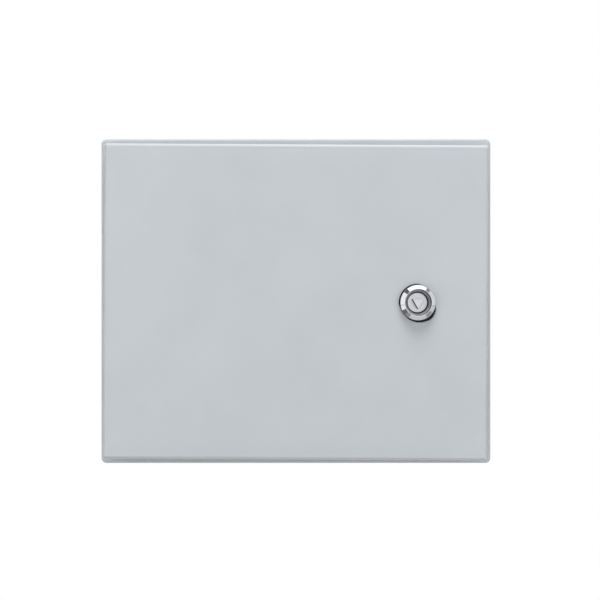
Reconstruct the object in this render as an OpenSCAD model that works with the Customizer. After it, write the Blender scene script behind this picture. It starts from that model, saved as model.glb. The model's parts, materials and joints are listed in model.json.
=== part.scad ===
// Wall-mounting sheet steel enclosure with a hinged door and a quarter-turn lock.
// X runs to the right, Y to the wall and Z up. The back lies in the plane Y = 0
// and the origin is the centre of the four wall-fixing holes.

/* [Body] */
// Width of the body
body_w = 300; // [280:5:500]
// Height of the body
body_h = 250; // [240:5:500]
// Depth from the wall to the front of the closed door
body_d = 150; // [120:5:250]
// Thickness of the body's sheet
body_sheet = 1.5; // [1.2:0.1:2]
// Inside radius of the body's four long corners
corner_fold_r = 2.5; // [1:0.5:5]
// Inside radius of the fold between the walls and the front rim
rim_fold_r = 1; // [0.5:0.25:2.5]
// Inside radius of the fold between the walls and the back
back_fold_r = 1; // [0.5:0.25:3]
// Distance from the body's outside to the sealing lip's outside
gutter_w = 20; // [20:0.5:24]
// Inside radius of the fold between the rim and the sealing lip
lip_fold_r = 1; // [0.5:0.1:1.3]

/* [Wall fixing] */
// Distance from the body's sides to the middle of a wall hole
wall_inset = 25; // [22:0.5:30]
// Radius of a wall hole
wall_hole_r = 4.5; // [3:0.25:6]

/* [Door] */
// Distance from the body's side to the door's side edge
door_inset_x = 4.5; // [3:0.25:5]
// Distance from the body's top to the door's top edge
door_inset_z = 5.5; // [3:0.25:8]
// Thickness of the door's sheet
door_sheet = 1.5; // [1:0.1:2]
// Depth of the door's folded edge
door_edge_d = 12; // [10:0.5:12.5]
// Gap between the door's folded edge and the rim
door_gap = 2.5; // [2:0.25:3]
// How much lower the door hangs on the lock side than on the hinge side
door_sag = 1.5; // [0:0.1:2]
// Inside radius of the fold round the door's face
door_fold_r = 1.5; // [0.5:0.25:2]
// Inside radius of the door's corners, seen from the front
door_corner_r = 0.5; // [0.2:0.1:2]
// Width of the door seal
seal_w = 8; // [5:0.5:9]
// Thickness of the door seal
seal_t = 3.2; // [2.5:0.1:4]

/* [Hinges] */
// Distance from the door's top and bottom edges to the middle of the nearer hinge
hinge_end = 49.5; // [45:0.5:80]
// Distance from the door's left edge to the hinge axis
hinge_inset = 5; // [4.8:0.1:5.2]
// Distance from the door's front to the hinge axis
hinge_depth = 5; // [4.8:0.1:5.2]
// Radius of a hinge knuckle
knuckle_r = 3; // [2.5:0.1:3.2]
// Radius of a hinge pin
hinge_pin_r = 1.5; // [1:0.1:1.7]
// Height of the bracket's knuckle
bracket_knuckle_h = 10; // [8:0.5:14]
// Height of each knuckle on the door leaf
leaf_knuckle_h = 8; // [6:0.5:12]
// Thickness of the hinge bracket
bracket_t = 2; // [1.5:0.1:2.2]
// Thickness of the hinge leaf
leaf_t = 1.5; // [1:0.1:1.7]
// Nominal radius of a bracket screw
bracket_screw_r = 2; // [1.5:0.25:2]

/* [Lock] */
// Distance from the door's right edge to the lock's axis
lock_inset = 53.5; // [45:0.5:80]
// Height of the lock above the middle of the door
lock_z = 0; // [-40:0.5:40]
// Radius of the lock's head
lock_head_r = 13.6; // [13:0.1:18]
// Height of the lock's head above its seal
lock_head_h = 5; // [4:0.5:7]
// Width of the cylindrical rim at the foot of the head
lock_foot_h = 2.3; // [0.4:0.1:2.5]
// Radius at the crest of the head, between bevel and funnel
lock_crest_r = 10.3; // [9.5:0.1:11]
// Thickness of the seal under the head
lock_seal_t = 1; // [0.5:0.1:1.5]
// Nominal radius of the lock's threaded neck
lock_neck_r = 11; // [10.5:0.25:12]
// Thickness of the lock's fixing nut
lock_nut_t = 5; // [3:0.5:7]
// Width across the flats of the fixing nut
lock_nut_flats = 27; // [26:0.5:32]
// Radius of the insert's face
insert_face_r = 7.5; // [7:0.1:8]
// Radius of the insert's shaft
insert_shaft_r = 6; // [5.6:0.1:6.4]
// Depth of the insert's face below the head's crest
insert_depth = 7.5; // [6:0.5:9]
// Height of the triangle, from one side to the opposite tip
triangle_size = 8; // [7:0.1:9]
// How far the triangular post stands up from the insert's face
triangle_post_h = 6.5; // [4:0.5:8]
// Distance that the cam reaches behind the rim when locked
cam_overlap = 11; // [8:0.5:14]
// Width of the cam
cam_w = 18; // [14:0.5:22]
// Thickness of the cam
cam_t = 3; // [2:0.5:4]
// Width of the insert's square end
square_w = 7; // [6:0.25:7.5]
// Nominal radius of the cam screw
cam_screw_r = 2.5; // [2:0.25:2.5]

/* [Mounting plate] */
// Distance from the body's sides to the edges of the mounting plate
plate_margin = 25; // [22:0.5:40]
// Thickness of the mounting plate
plate_t = 2; // [1.5:0.5:3]
// Distance from the wall to the back of the mounting plate
plate_stand = 20; // [12:1:30]
// Length of the cut across each corner of the plate
plate_chamfer = 25; // [20:1:30]
// Distance from the plate's edges to its fixing studs
plate_stud_inset = 20; // [18:1:24]
// Nominal radius of the plate's studs
stud_r = 3; // [2.5:0.25:4]

/* [Cable entry] */
// Width of the opening in the bottom
entry_w = 180; // [100:5:200]
// Depth of the opening in the bottom
entry_d = 60; // [40:5:60]
// Distance from the wall to the middle of the opening
entry_y = 67; // [60:1:68]
// Overlap of the gland plate round the opening
gland_overlap = 15; // [12:0.5:18]
// Thickness of the gland plate
gland_t = 1.5; // [1:0.1:2.5]
// Thickness of the gland plate's gasket
gland_gasket_t = 2; // [1:0.5:3]
// Nominal radius of the gland plate's studs
gland_stud_r = 2.5; // [2:0.25:3]

/* [Earth studs] */
// Distance from the body's left side to its earth stud
body_earth_x = 25; // [15:1:35]
// Distance from the wall to the body's earth stud
body_earth_y = 14; // [13:0.5:16]
// Distance from the door's left edge to its earth stud
door_earth_x = 31; // [29:1:60]
// Distance from the door's bottom edge to its earth stud
door_earth_z = 30; // [30:1:60]
// Nominal radius of the earth studs
earth_stud_r = 3; // [2.5:0.25:4]

/* [Hidden] */
$fn = 64;

// Clearances
touch_gap = 0.3;
thread_gap = 0.05;
hole_gap = 0.3;
lock_hole_gap = 0.25;
pin_press_gap = 0.02;
pin_run_gap = 0.06;
cam_gap = 0.5;

// Body
rim_y = -(body_d - door_edge_d - door_gap);
rim_back_y = rim_y + body_sheet;
lip_y = -(body_d - door_sheet - seal_t - touch_gap);
lip_in_x = body_w / 2 - gutter_w - body_sheet;
floor_z = -body_h / 2 + body_sheet;

// Door
door_w = body_w - 2 * door_inset_x;
door_h = body_h - 2 * door_inset_z;
door_back_y = -body_d + door_sheet;
door_edge_y = -body_d + door_edge_d;
seal_w_out = body_w - 2 * gutter_w - body_sheet + seal_w;
seal_h_out = body_h - 2 * gutter_w - body_sheet + seal_w;
seal_corner_r = 1.2;
hang_angle = asin(door_sag / door_w);

// Hinges
hinge_x = -door_w / 2 + hinge_inset;
hinge_y = -body_d + hinge_depth;
hinge_z = door_h / 2 - hinge_end;
hinge_zs = [-hinge_z, hinge_z];
hinge_h = bracket_knuckle_h + 2 * (leaf_knuckle_h + touch_gap);
bracket_end_h = 4.7;
bracket_h = hinge_h + 2 * bracket_end_h;
arm_left = knuckle_r + 0.5;
arm_t = 2.5;
web_t = 2.2;
bracket_side = 1;
bracket_left = -knuckle_r - bracket_side;
bracket_right = arm_left + arm_t + 2 * bracket_side;
bracket_face = rim_y - bracket_t - hinge_y;
hang_shift = (hinge_z + hinge_h / 2) * sin(hang_angle);
leaf_left = hang_shift + door_sheet + door_fold_r + 0.1 - hinge_inset;
leaf_right = arm_left + arm_t;
pin_head_t = 1.2;
notch_room = 2;
notch_h = bracket_h + 2 * notch_room;
notch_y = hinge_y - knuckle_r / 2;
bracket_screw_x = (bracket_left + bracket_right) / 2;
bracket_screw_z = hinge_h / 2 - touch_gap;
countersink_h = bracket_t - 0.2;

// Lock, with depths measured from the wall towards the front
lock_x = door_w / 2 - lock_inset;
door_inner = body_d - door_sheet;
head_foot = body_d + lock_seal_t;
head_top = head_foot + lock_head_h;
insert_face = head_top - insert_depth;
insert_head_t = 3.5;
insert_shoulder = insert_face - insert_head_t;
cam_front = -rim_back_y - cam_gap;
cam_back = cam_front - cam_t;
neck_end = cam_front + cam_gap;
funnel_foot = insert_face + 0.2;
face_bore_r = insert_face_r + 0.1;
shaft_bore_r = insert_shaft_r + pin_run_gap;
cam_reach = lip_in_x + cam_overlap - lock_x;
triangle_tip_r = triangle_size * 2 / 3;
o_ring_r = 0.85;
o_ring_squeeze = 0.02;
o_ring_path_r = insert_shaft_r - o_ring_r + o_ring_squeeze;
o_ring_inset = 5;
o_ring_at = neck_end + o_ring_inset;
crest_round = 0.3;
crest_side = crest_round * sin(45);
crest_y = head_top - crest_round;
lug_wall = 1.7;
hub_r = lock_neck_r - lug_wall - touch_gap;
cam_washer_t = 1.2;
cam_washer_r = 7;
cam_head_t = 3.5;
cam_screw_grip = 6.5;
cam_screw_end = cam_front + cam_screw_grip;

// Wall holes and mounting plate
wall_hole_x = body_w / 2 - wall_inset;
wall_hole_z = body_h / 2 - wall_inset;
plate_w = body_w - 2 * plate_margin;
plate_h = body_h - 2 * plate_margin;
plate_back_y = -plate_stand;
plate_front_y = -plate_stand - plate_t;
plate_stud_x = plate_w / 2 - plate_stud_inset;
plate_stud_z = plate_h / 2 - plate_stud_inset;

// Cable entry
gland_w = entry_w + 2 * gland_overlap;
gland_d = entry_d + 2 * gland_overlap;
gland_z = floor_z + gland_gasket_t;
gland_corner_r = 4;
entry_corner_r = 6;
gland_stud_x = entry_w / 2 + gland_overlap / 2;
gland_stud_y = entry_d / 2 + gland_overlap / 2;

// Fasteners, as multiples of the thread's radius
washer_r_ratio = 2;
washer_t_ratio = 0.5;
nut_flats_ratio = 3.33;
small_flats_ratio = 3.5;
stud_chamfer = 0.7;
screw_head_ratio = 1.6;
nut_t_ratio = 1.65;

// ---- Drawing helpers ----

// Rectangle with round corners, centred
module round_rect(w, h, r) {
    square([w - 2 * r, h], center = true);
    square([w, h - 2 * r], center = true);
    for (x = [-1, 1], z = [-1, 1])
        translate([x * (w / 2 - r), z * (h / 2 - r)])
            circle(r = r);
}

// Extrudes a shape drawn in X and Z from back_y towards the front
module towards_front(back_y, depth) {
    translate([0, back_y, 0])
        rotate([90, 0, 0])
            linear_extrude(depth)
                children();
}

// Outline of a folded box, seen along its edges: X across, Y from front to back
module folded_outline(w, front_y, back_y, front_r, back_r) {
    translate([-w / 2, front_y + front_r])
        square([w, back_y - back_r - front_y - front_r]);
    translate([-w / 2 + front_r, front_y])
        square([w - 2 * front_r, front_r]);
    for (side = [-1, 1])
        translate([side * (w / 2 - front_r), front_y + front_r])
            circle(r = front_r);
    if (back_r > 0) {
        translate([-w / 2 + back_r, back_y - back_r])
            square([w - 2 * back_r, back_r]);
        for (side = [-1, 1])
            translate([side * (w / 2 - back_r), back_y - back_r])
                circle(r = back_r);
    }
}

// Solid box with folded edges. A back radius of 0 leaves the back edges square
module folded_box(w, h, front_y, back_y, corner_r, front_r, back_r) {
    intersection() {
        towards_front(back_y, back_y - front_y)
            round_rect(w, h, corner_r);
        linear_extrude(h + 2, center = true)
            folded_outline(w, front_y, back_y, front_r, back_r);
        rotate([0, 90, 0])
            linear_extrude(w + 2, center = true)
                folded_outline(h, front_y, back_y, front_r, back_r);
    }
}

// Right side of a frame, cut to a mitre at both ends
module frame_side(w, h, reach) {
    intersection() {
        linear_extrude(h, center = true)
            translate([w / 2, 0])
                mirror([1, 0])
                    children();
        rotate([90, 0, 0])
            linear_extrude(4 * body_d, center = true)
                polygon([
                    [w / 2, -h / 2],
                    [w / 2, h / 2],
                    [w / 2 - reach, h / 2 - reach],
                    [w / 2 - reach, -h / 2 + reach]
                ]);
    }
}

// Runs a profile round a rectangle with mitred corners. The profile's X is
// the distance inwards from the rectangle's edge, and its Y the depth
module mitred_frame(w, h, reach) {
    for (turn = [0, 180]) {
        rotate([0, turn, 0])
            frame_side(w, h, reach)
                children();
        rotate([0, turn + 90, 0])
            frame_side(h, w, reach)
                children();
    }
}

// Hexagonal nut on the Z axis, standing on Z = 0
module hex_nut(thread_r, flats, thickness) {
    difference() {
        cylinder(r = flats / 2 / cos(30), h = thickness, $fn = 6);
        translate([0, 0, -1])
            cylinder(r = thread_r + thread_gap, h = thickness + 2);
    }
}

// Flat washer on the Z axis, standing on Z = 0
module flat_washer(thread_r, outer_r, thickness) {
    difference() {
        cylinder(r = outer_r, h = thickness);
        translate([0, 0, -1])
            cylinder(r = thread_r + thread_gap, h = thickness + 2);
    }
}

// Welded stud on the Z axis, with a chamfered tip
module welded_stud(thread_r, length) {
    cylinder(r = thread_r, h = length - stud_chamfer);
    translate([0, 0, length - stud_chamfer])
        cylinder(r1 = thread_r, r2 = thread_r - stud_chamfer, h = stud_chamfer);
}

// Places a part drawn along Z at a point of the back wall's grid, facing front
module facing_front(x, y, z) {
    translate([x, y, z])
        rotate([90, 0, 0])
            children();
}

// Turns the door and what it carries in the door's plane, so that it hangs
module as_hung() {
    translate([hinge_x, 0, 0])
        rotate([0, hang_angle, 0])
            translate([-hinge_x, 0, 0])
                children();
}

// Places a part drawn along Z in the lock, with Z the distance from the wall
module at_lock() {
    as_hung()
        facing_front(lock_x, 0, lock_z)
            children();
}

// Places a part at the four corners of a rectangle
module four_corners(x, z) {
    for (sx = [-1, 1], sz = [-1, 1])
        translate([sx * x, 0, sz * z])
            children();
}

// ---- Body ----

// Fold from the rim into the sealing lip, and the lip itself
module lip_profile() {
    fold_x = gutter_w - lip_fold_r;
    fold_y = rim_y - lip_fold_r;
    translate([gutter_w, lip_y])
        square([body_sheet, fold_y - lip_y]);
    translate([fold_x, fold_y])
        intersection() {
            difference() {
                circle(r = lip_fold_r + body_sheet);
                circle(r = lip_fold_r);
            }
            square(lip_fold_r + body_sheet);
        }
}

module body_shell() {
    rim_cut = gutter_w - lip_fold_r;
    color("gainsboro") {
        difference() {
            folded_box(
                body_w, body_h, rim_y, 0,
                corner_fold_r + body_sheet, rim_fold_r + body_sheet, back_fold_r + body_sheet
            );
            folded_box(
                body_w - 2 * body_sheet, body_h - 2 * body_sheet, rim_back_y, -body_sheet,
                corner_fold_r, rim_fold_r, back_fold_r
            );
            translate([0, rim_y, 0])
                cube([body_w - 2 * rim_cut, 4 * body_sheet, body_h - 2 * rim_cut], center = true);
            four_corners(wall_hole_x, wall_hole_z)
                towards_front(1, body_sheet + 2)
                    circle(r = wall_hole_r);
            translate([0, -entry_y, floor_z - body_sheet - 1])
                linear_extrude(body_sheet + 2)
                    round_rect(entry_w, entry_d, entry_corner_r);
            at_hinge_screws()
                translate([0, rim_back_y + 1, 0])
                    rotate([90, 0, 0])
                        cylinder(r = bracket_screw_r + hole_gap, h = body_sheet + 2);
        }
        mitred_frame(body_w, body_h, gutter_w + body_sheet)
            lip_profile();
    }
}

module mounting_plate() {
    half_w = plate_w / 2;
    half_h = plate_h / 2;
    color("silver")
        difference() {
            towards_front(plate_back_y, plate_t)
                polygon([
                    [half_w - plate_chamfer, -half_h],
                    [half_w, -half_h + plate_chamfer],
                    [half_w, half_h - plate_chamfer],
                    [half_w - plate_chamfer, half_h],
                    [-half_w + plate_chamfer, half_h],
                    [-half_w, half_h - plate_chamfer],
                    [-half_w, -half_h + plate_chamfer],
                    [-half_w + plate_chamfer, -half_h]
                ]);
            four_corners(plate_stud_x, plate_stud_z)
                towards_front(plate_back_y + 1, plate_t + 2)
                    circle(r = stud_r + hole_gap);
        }
}

// Studs welded to the back, each with the collar that the plate rests on
module plate_studs() {
    collar_h = plate_stand - body_sheet;
    color("goldenrod")
        four_corners(plate_stud_x, plate_stud_z)
            facing_front(0, -body_sheet, 0) {
                cylinder(r = stud_r + 2, h = collar_h);
                welded_stud(stud_r, collar_h + plate_t + 3 * stud_r);
            }
}

module plate_washers() {
    color("silver")
        four_corners(plate_stud_x, plate_stud_z)
            facing_front(0, plate_front_y, 0)
                flat_washer(stud_r, washer_r_ratio * stud_r, washer_t_ratio * stud_r);
}

module plate_nuts() {
    color("silver")
        four_corners(plate_stud_x, plate_stud_z)
            facing_front(0, plate_front_y - washer_t_ratio * stud_r, 0)
                hex_nut(stud_r, nut_flats_ratio * stud_r, nut_t_ratio * stud_r);
}

// ---- Cable entry ----

// Places a part at each of the gland plate's six studs
module at_gland_studs() {
    for (x = [-gland_stud_x, 0, gland_stud_x], y = [-gland_stud_y, gland_stud_y])
        translate([x, y - entry_y, floor_z])
            children();
}

// A flat piece of the cable entry with its stud holes
module gland_layer(z, thickness) {
    difference() {
        translate([0, -entry_y, z])
            linear_extrude(thickness)
                round_rect(gland_w, gland_d, gland_corner_r);
        at_gland_studs()
            translate([0, 0, -1])
                cylinder(r = gland_stud_r + hole_gap, h = gland_gasket_t + gland_t + 2);
    }
}

module gland_plate() {
    color("gainsboro")
        gland_layer(gland_z, gland_t);
}

module gland_gasket() {
    color("dimgray")
        difference() {
            gland_layer(floor_z, gland_gasket_t);
            translate([0, -entry_y, floor_z - 1])
                linear_extrude(gland_gasket_t + 2)
                    round_rect(entry_w, entry_d, entry_corner_r);
        }
}

module gland_studs() {
    color("goldenrod")
        at_gland_studs()
            welded_stud(gland_stud_r, gland_gasket_t + gland_t + 3 * gland_stud_r);
}

module gland_nuts() {
    color("silver")
        at_gland_studs()
            translate([0, 0, gland_gasket_t + gland_t])
                hex_nut(gland_stud_r, nut_flats_ratio * gland_stud_r, nut_t_ratio * gland_stud_r);
}

// ---- Earth studs ----

// Length of an earth stud, with room for a cable lug under the nut
function earth_stud_length() = 5 * earth_stud_r;

module at_body_earth() {
    translate([-body_w / 2 + body_earth_x, -body_earth_y, floor_z])
        children();
}

module at_door_earth() {
    as_hung()
        translate([-door_w / 2 + door_earth_x, door_back_y, -door_h / 2 + door_earth_z])
            rotate([-90, 0, 0])
                children();
}

module earth_washer() {
    flat_washer(earth_stud_r, washer_r_ratio * earth_stud_r, washer_t_ratio * earth_stud_r);
}

module earth_nut() {
    translate([0, 0, washer_t_ratio * earth_stud_r])
        hex_nut(earth_stud_r, nut_flats_ratio * earth_stud_r, nut_t_ratio * earth_stud_r);
}

module body_earth_stud() {
    color("goldenrod")
        at_body_earth()
            welded_stud(earth_stud_r, earth_stud_length());
}

module body_earth_washer() {
    color("silver")
        at_body_earth()
            earth_washer();
}

module body_earth_nut() {
    color("silver")
        at_body_earth()
            earth_nut();
}

module door_earth_stud() {
    color("goldenrod")
        at_door_earth()
            welded_stud(earth_stud_r, earth_stud_length());
}

module door_earth_washer() {
    color("silver")
        at_door_earth()
            earth_washer();
}

module door_earth_nut() {
    color("silver")
        at_door_earth()
            earth_nut();
}

// ---- Hinges, drawn in X and Y about the hinge axis ----

module at_hinge(z) {
    translate([hinge_x, hinge_y, z])
        children();
}

// Places a part at each bracket screw, in the plane Y = 0
module at_hinge_screws() {
    for (z = hinge_zs, side = [-1, 1])
        translate([hinge_x + bracket_screw_x, 0, z + side * bracket_screw_z])
            children();
}

// Bracket on the body: a base on the rim, an arm, and the middle knuckle
module hinge_bracket(z) {
    color("silver")
        difference() {
            at_hinge(z) {
                translate([bracket_left, bracket_face, -bracket_h / 2])
                    cube([bracket_right - bracket_left, bracket_t, bracket_h]);
                linear_extrude(bracket_knuckle_h, center = true)
                    difference() {
                        union() {
                            circle(r = knuckle_r);
                            square([leaf_right, web_t]);
                            translate([arm_left, 0])
                                square([arm_t, bracket_face]);
                        }
                        circle(r = hinge_pin_r + pin_press_gap);
                    }
            }
            at_hinge_screws()
                translate([0, rim_y - bracket_t, 0])
                    rotate([-90, 0, 0])
                        countersunk_screw(bracket_t + 1, thread_gap);
        }
}

// Countersunk screw along Z with its head at Z = 0, grown by gap to cut its hole
module countersunk_screw(length, gap) {
    cylinder(r1 = 2 * bracket_screw_r + gap, r2 = bracket_screw_r + gap, h = countersink_h);
    cylinder(r = bracket_screw_r + gap, h = length);
}

module hinge_bracket_screws() {
    color("silver")
        at_hinge_screws()
            translate([0, rim_y - bracket_t, 0])
                rotate([-90, 0, 0])
                    countersunk_screw(bracket_t + body_sheet + 2 * bracket_screw_r, 0);
}

module hinge_bracket_nuts() {
    color("silver")
        at_hinge_screws()
            translate([0, rim_back_y, 0])
                rotate([-90, 0, 0])
                    hex_nut(
                        bracket_screw_r, small_flats_ratio * bracket_screw_r,
                        nut_t_ratio * bracket_screw_r
                    );
}

module hinge_pin(z) {
    color("silver")
        at_hinge(z) {
            translate([0, 0, -hinge_h / 2])
                cylinder(r = hinge_pin_r, h = hinge_h + touch_gap);
            translate([0, 0, hinge_h / 2 + touch_gap])
                cylinder(r = hinge_pin_r + 1, h = pin_head_t);
        }
}

// Leaf on the door: a plate with two knuckles, open at the bracket's knuckle
module hinge_leaf(z) {
    back = door_back_y - hinge_y;
    window_h = bracket_knuckle_h + 2 * touch_gap;
    color("silver")
        at_hinge(z)
            difference() {
                linear_extrude(hinge_h, center = true)
                    difference() {
                        union() {
                            circle(r = knuckle_r);
                            translate([leaf_left, back])
                                square([knuckle_r - leaf_left, -back]);
                            translate([leaf_left, back])
                                square([leaf_right - leaf_left, leaf_t]);
                        }
                        circle(r = hinge_pin_r + pin_run_gap);
                    }
                translate([-knuckle_r - 1, back - 1, -window_h / 2])
                    cube([arm_left + knuckle_r + 1, knuckle_r - back + 2, window_h]);
            }
}

module hinge_bracket_upper() {
    hinge_bracket(hinge_zs[1]);
}

module hinge_bracket_lower() {
    hinge_bracket(hinge_zs[0]);
}

module hinge_pin_upper() {
    hinge_pin(hinge_zs[1]);
}

module hinge_pin_lower() {
    hinge_pin(hinge_zs[0]);
}

module hinge_leaf_upper() {
    hinge_leaf(hinge_zs[1]);
}

module hinge_leaf_lower() {
    hinge_leaf(hinge_zs[0]);
}

// ---- Door ----

module door_panel() {
    color("gainsboro")
        as_hung()
            difference() {
                folded_box(
                    door_w, door_h, -body_d, door_edge_y,
                    door_corner_r + door_sheet, door_fold_r + door_sheet, 0
                );
                folded_box(
                    door_w - 2 * door_sheet, door_h - 2 * door_sheet, door_back_y, door_edge_y + 1,
                    door_corner_r, door_fold_r, 0
                );
                facing_front(lock_x, 0, lock_z)
                    translate([0, 0, door_inner - 1])
                        cylinder(r = lock_neck_r + lock_hole_gap, h = door_sheet + 2);
                for (z = hinge_zs)
                    translate([-door_w / 2 - 1, notch_y, z - notch_h / 2])
                        cube([door_sheet + 2, door_edge_d, notch_h]);
            }
}

// Section of the door seal, rounded on the side that meets the lip
module seal_profile() {
    translate([0, door_back_y])
        square([seal_w, seal_t - seal_corner_r]);
    translate([seal_corner_r, door_back_y])
        square([seal_w - 2 * seal_corner_r, seal_t]);
    for (x = [seal_corner_r, seal_w - seal_corner_r])
        translate([x, door_back_y + seal_t - seal_corner_r])
            circle(r = seal_corner_r);
}

module door_seal() {
    color("dimgray")
        as_hung()
            mitred_frame(seal_w_out, seal_h_out, seal_w)
                seal_profile();
}

// ---- Lock ----

// Half of the housing's section: neck, bevelled head with a round crest, funnel
module housing_section() {
    polygon([
        [shaft_bore_r, neck_end],
        [lock_neck_r, neck_end],
        [lock_neck_r, head_foot],
        [lock_head_r, head_foot],
        [lock_head_r, head_foot + lock_foot_h],
        [lock_crest_r + crest_side, crest_y + crest_side],
        [lock_crest_r - crest_side, crest_y + crest_side],
        [face_bore_r, funnel_foot],
        [face_bore_r, insert_shoulder - 0.2],
        [shaft_bore_r, insert_shoulder - 0.2]
    ]);
    translate([lock_crest_r, crest_y])
        circle(r = crest_round);
}

// Lug at the end of the neck, on the left, that the cam's hub strikes
module stop_lug() {
    face_x = hub_r + touch_gap;
    intersection() {
        translate([0, 0, cam_back])
            cylinder(r = lock_neck_r, h = neck_end + 0.5 - cam_back);
        translate([-face_x - lock_neck_r, -lock_neck_r, cam_back])
            cube([lock_neck_r, 2 * lock_neck_r, neck_end + 0.5 - cam_back]);
    }
}

// The two lugs stop the cam after a quarter turn: one pointing up, one to the right
module lock_housing() {
    color("lightgray")
        at_lock() {
            rotate_extrude()
                housing_section();
            stop_lug();
            rotate([0, 0, 90])
                stop_lug();
        }
}

module lock_seal() {
    color("black")
        at_lock()
            translate([0, 0, body_d])
                difference() {
                    cylinder(r = lock_head_r + 0.3, h = lock_seal_t);
                    translate([0, 0, -1])
                        cylinder(r = lock_neck_r + 0.1, h = lock_seal_t + 2);
                }
}

module lock_nut() {
    color("silver")
        at_lock()
            translate([0, 0, door_inner - lock_nut_t])
                hex_nut(lock_neck_r, lock_nut_flats, lock_nut_t);
}

// Turned insert: face with the triangular post, shaft, and square end
module lock_insert() {
    groove_r = o_ring_path_r - o_ring_r - o_ring_squeeze;
    groove_h = 2 * o_ring_r + 0.2;
    color("lightgray")
        at_lock()
            difference() {
                union() {
                    translate([0, 0, insert_shoulder])
                        cylinder(r = insert_face_r, h = insert_face - insert_shoulder);
                    translate([0, 0, cam_front])
                        cylinder(r = insert_shaft_r, h = insert_shoulder - cam_front);
                    translate([-square_w / 2, -square_w / 2, cam_back + 0.2])
                        cube([square_w, square_w, cam_t]);
                    translate([0, 0, insert_face])
                        rotate([0, 0, -90])
                            cylinder(r = triangle_tip_r, h = triangle_post_h, $fn = 3);
                }
                translate([0, 0, o_ring_at - groove_h / 2])
                    difference() {
                        cylinder(r = insert_shaft_r + 1, h = groove_h);
                        translate([0, 0, -1])
                            cylinder(r = groove_r, h = groove_h + 2);
                    }
                translate([0, 0, cam_back])
                    cylinder(r = cam_screw_r + thread_gap, h = cam_screw_end + 1 - cam_back);
            }
}

module insert_o_ring() {
    color("black")
        at_lock()
            translate([0, 0, o_ring_at])
                rotate_extrude()
                    translate([o_ring_path_r, 0])
                        circle(r = o_ring_r);
}

// Flat cam that turns behind the rim, drawn pointing up. Its hub runs between
// the stop lugs and its arm begins outside them
module lock_cam() {
    arm_start = lock_neck_r + 1;
    tip_r = 3;
    color("silver")
        at_lock()
            translate([0, 0, cam_back])
                linear_extrude(cam_t)
                    difference() {
                        union() {
                            circle(r = hub_r);
                            translate([-hub_r, 0])
                                square([2 * hub_r, arm_start + 1]);
                            translate([-cam_w / 2, arm_start])
                                square([cam_w, cam_reach - tip_r - arm_start]);
                            translate([-cam_w / 2 + tip_r, 0])
                                square([cam_w - 2 * tip_r, cam_reach]);
                            for (side = [-1, 1])
                                translate([side * (cam_w / 2 - tip_r), cam_reach - tip_r])
                                    circle(r = tip_r);
                        }
                        square(square_w + 2 * thread_gap, center = true);
                    }
}

module cam_washer() {
    color("silver")
        at_lock()
            translate([0, 0, cam_back - cam_washer_t])
                flat_washer(cam_screw_r, cam_washer_r, cam_washer_t);
}

module cam_screw() {
    under_head = cam_back - cam_washer_t;
    color("silver")
        at_lock() {
            translate([0, 0, under_head - cam_head_t])
                cylinder(r = screw_head_ratio * cam_screw_r / cos(30), h = cam_head_t, $fn = 6);
            translate([0, 0, under_head - 0.1])
                cylinder(r = cam_screw_r, h = cam_screw_end - under_head + 0.1);
        }
}

body_shell();
mounting_plate();
plate_studs();
plate_washers();
plate_nuts();
gland_plate();
gland_gasket();
gland_studs();
gland_nuts();
body_earth_stud();
body_earth_washer();
body_earth_nut();
hinge_bracket_upper();
hinge_bracket_lower();
hinge_pin_upper();
hinge_pin_lower();
hinge_bracket_screws();
hinge_bracket_nuts();
door_panel();
door_seal();
hinge_leaf_upper();
hinge_leaf_lower();
door_earth_stud();
door_earth_washer();
door_earth_nut();
lock_housing();
lock_seal();
lock_nut();
lock_insert();
insert_o_ring();
lock_cam();
cam_washer();
cam_screw();
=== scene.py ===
import json
import math

import bmesh
import bpy
from mathutils import Matrix, Vector


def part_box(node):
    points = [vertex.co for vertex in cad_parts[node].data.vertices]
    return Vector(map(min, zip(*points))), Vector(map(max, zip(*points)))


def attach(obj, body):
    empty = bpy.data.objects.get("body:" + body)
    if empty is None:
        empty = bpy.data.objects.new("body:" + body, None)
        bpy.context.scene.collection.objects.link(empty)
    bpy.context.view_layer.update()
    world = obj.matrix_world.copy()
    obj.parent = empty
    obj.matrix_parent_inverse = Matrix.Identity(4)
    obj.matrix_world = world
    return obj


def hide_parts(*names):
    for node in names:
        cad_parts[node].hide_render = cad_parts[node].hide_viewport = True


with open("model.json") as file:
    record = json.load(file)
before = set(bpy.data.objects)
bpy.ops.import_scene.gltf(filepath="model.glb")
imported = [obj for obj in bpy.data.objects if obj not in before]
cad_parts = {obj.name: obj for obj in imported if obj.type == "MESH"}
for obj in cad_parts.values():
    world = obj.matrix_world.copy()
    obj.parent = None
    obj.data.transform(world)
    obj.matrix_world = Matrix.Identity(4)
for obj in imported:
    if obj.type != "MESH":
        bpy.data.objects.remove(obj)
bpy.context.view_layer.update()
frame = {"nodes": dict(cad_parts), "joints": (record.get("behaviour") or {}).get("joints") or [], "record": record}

# ---- Places, in metres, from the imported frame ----

MM = 0.001
BODY_LOW, BODY_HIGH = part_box("body_shell")
DOOR_LOW, DOOR_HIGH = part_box("door_panel")
SEAL_LOW, SEAL_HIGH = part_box("door_seal")
RING_LOW, RING_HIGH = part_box("lock_seal")
HEAD_LOW, HEAD_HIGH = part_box("lock_housing")
INSERT_LOW, INSERT_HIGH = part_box("lock_insert")
JOINTS = {joint["name"]: joint for joint in frame["joints"]}
MOUNTS = {mount["name"]: mount for mount in frame["record"]["mounts"]}
LOCK_AT = Vector(JOINTS["lock_turn"]["pos_m"])
HINGE_AT = Vector(JOINTS["door_hinge"]["pos_m"])

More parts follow.
